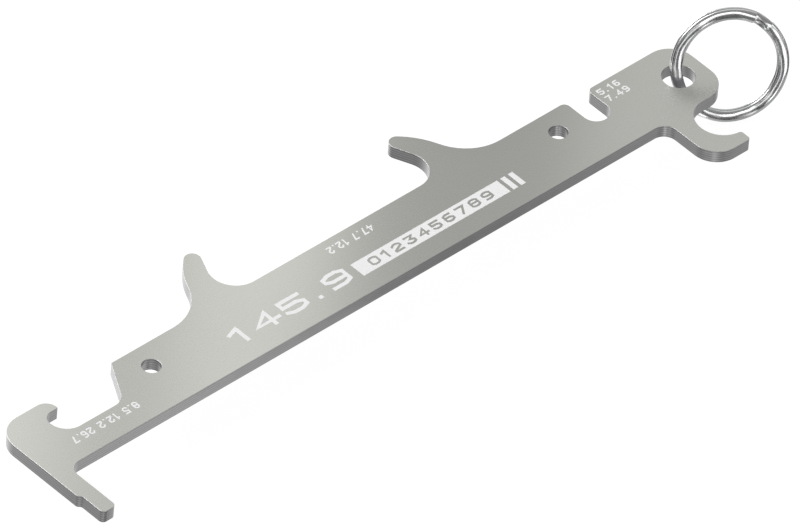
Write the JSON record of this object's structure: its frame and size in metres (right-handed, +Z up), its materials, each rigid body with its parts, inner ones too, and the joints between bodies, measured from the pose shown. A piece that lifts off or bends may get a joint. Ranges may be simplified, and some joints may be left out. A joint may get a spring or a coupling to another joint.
{
  "type": "chain wear gauge",
  "caption": "Flat steel chain wear gauge with a roller hook and stepped prong, chain-holding fingers, a valve-core slot, a cap opener and a split ring in its end.",
  "frame": {"origin": "on the plate's underside, midway between the two small holes", "axes": "+X along the plate towards the split ring, +Y across it towards the fingers, +Z up, out of the plate's top face"},
  "size_m": [0.1702, 0.039, 0.0201],
  "materials": {
    "plate": "satin",
    "ring": "polished"
  },
  "bodies": {
    "gauge": {"gauge_plate": "plate"},
    "ring": {"split_ring": "ring"}
  },
  "joints": [
    {"name": "ring_swing", "type": "hinge", "parent": "gauge", "child": "ring", "pos_m": [0.07351, -0.00248, 0.00125], "axis": [0.8726, -0.4291, 0.2331], "range_deg": [-20, 60]}
  ]
}
